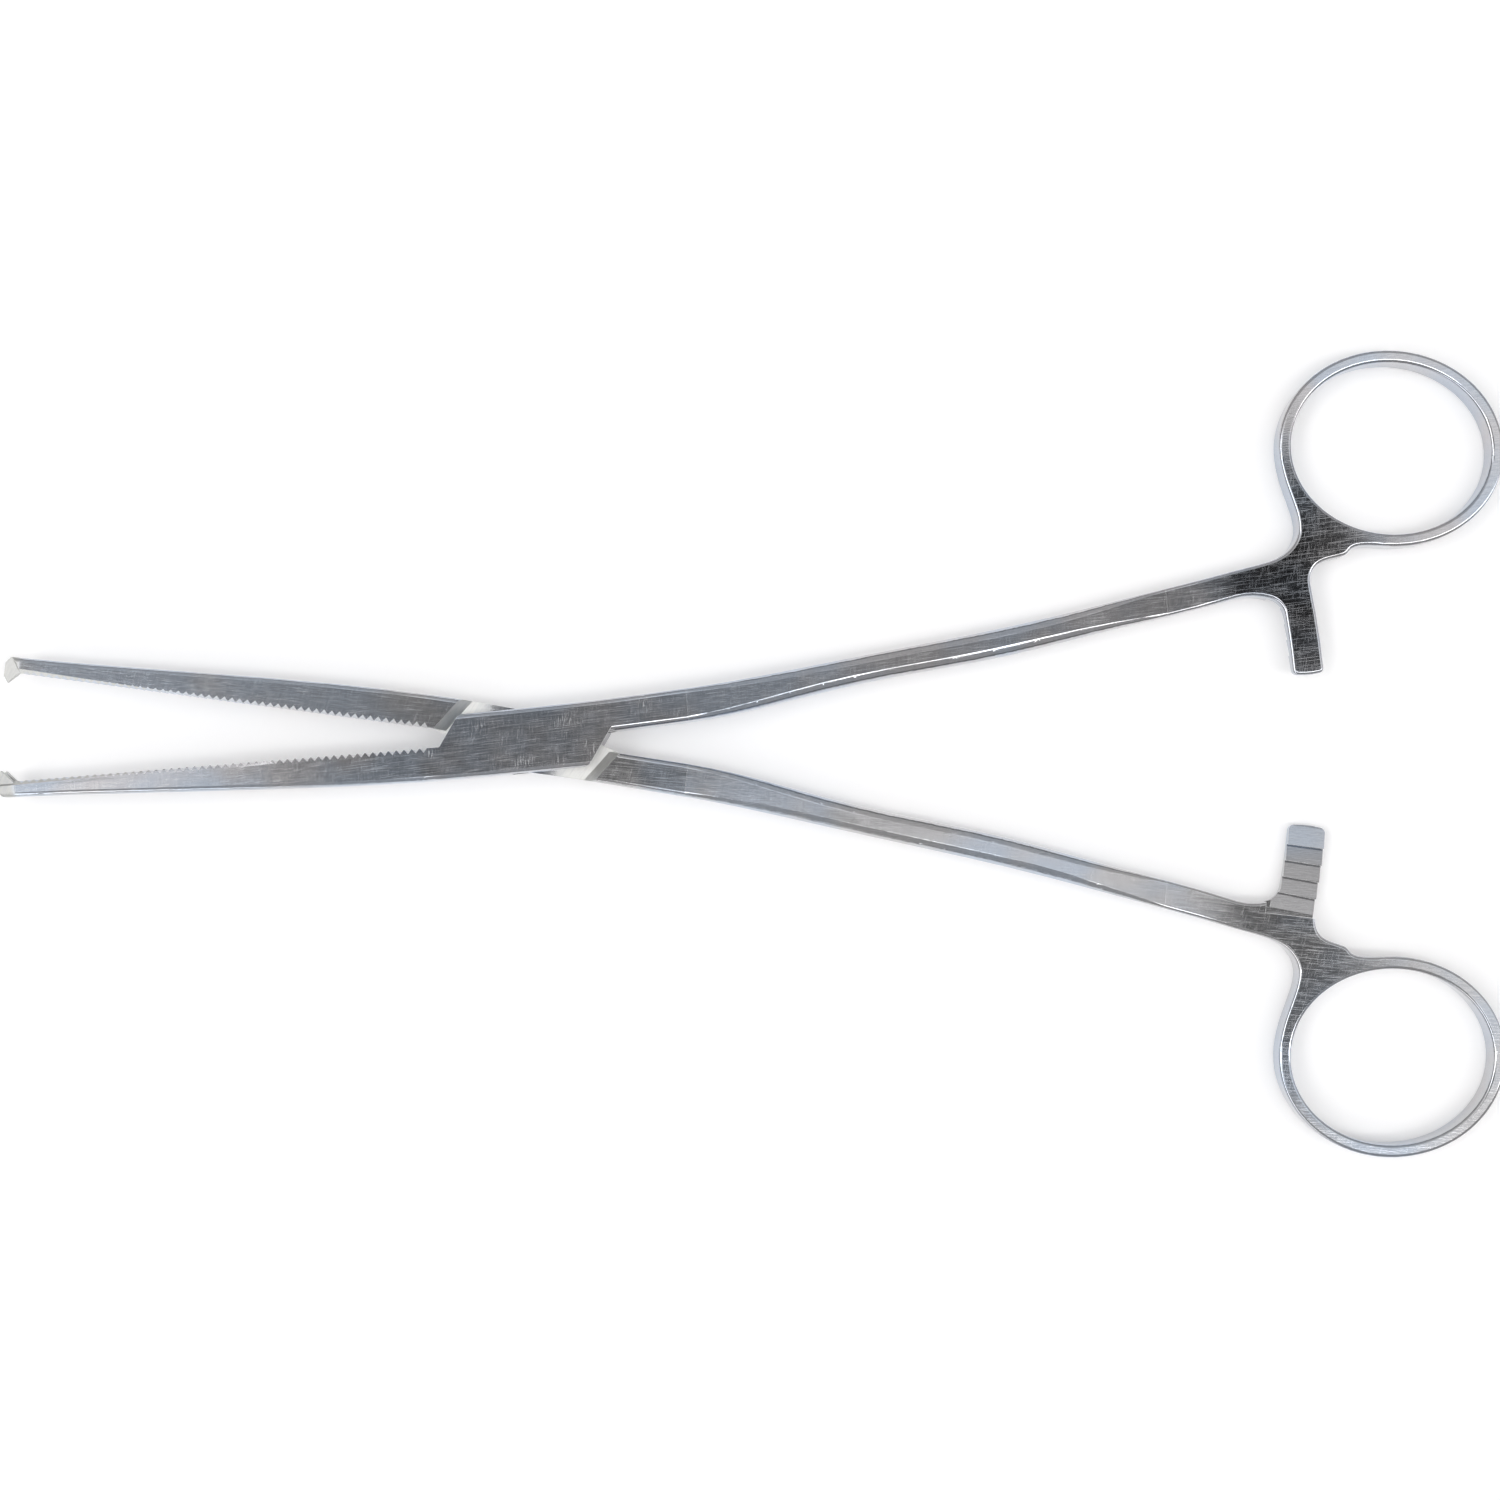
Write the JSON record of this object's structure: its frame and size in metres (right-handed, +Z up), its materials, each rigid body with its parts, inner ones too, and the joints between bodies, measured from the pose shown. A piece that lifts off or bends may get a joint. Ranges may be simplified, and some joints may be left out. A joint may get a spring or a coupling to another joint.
{
  "type": "kocher forceps",
  "caption": "Straight ratcheted surgical clamp with a box lock, long cross-serrated jaws ending in hooked teeth, slim shanks and oval finger rings, lying a little open.",
  "frame": {"origin": "on the pivot axis, at the underside of the box lock, where the instrument rests", "axes": "+X from the jaw tips towards the finger rings along the bisector of the two handles, +Y towards the ring of the half that carries the box, +Z up, square to the flat instrument"},
  "size_m": [0.1979, 0.106, 0.0056],
  "materials": {
    "box_half_steel": "satin brushed stainless steel",
    "tongue_half_steel": "satin brushed stainless steel",
    "pin_steel": "ground flush and brushed stainless steel"
  },
  "bodies": {
    "box_side": {"box_half": "box_half_steel", "pivot_pin": "pin_steel"},
    "tongue_side": {"tongue_half": "tongue_half_steel"}
  },
  "joints": [
    {"name": "box_lock", "type": "hinge", "parent": "box_side", "child": "tongue_side", "pos_m": [0, 0, 0.0028], "axis": [0, 0, 1], "range_deg": [-37.4, 12.1]}
  ]
}
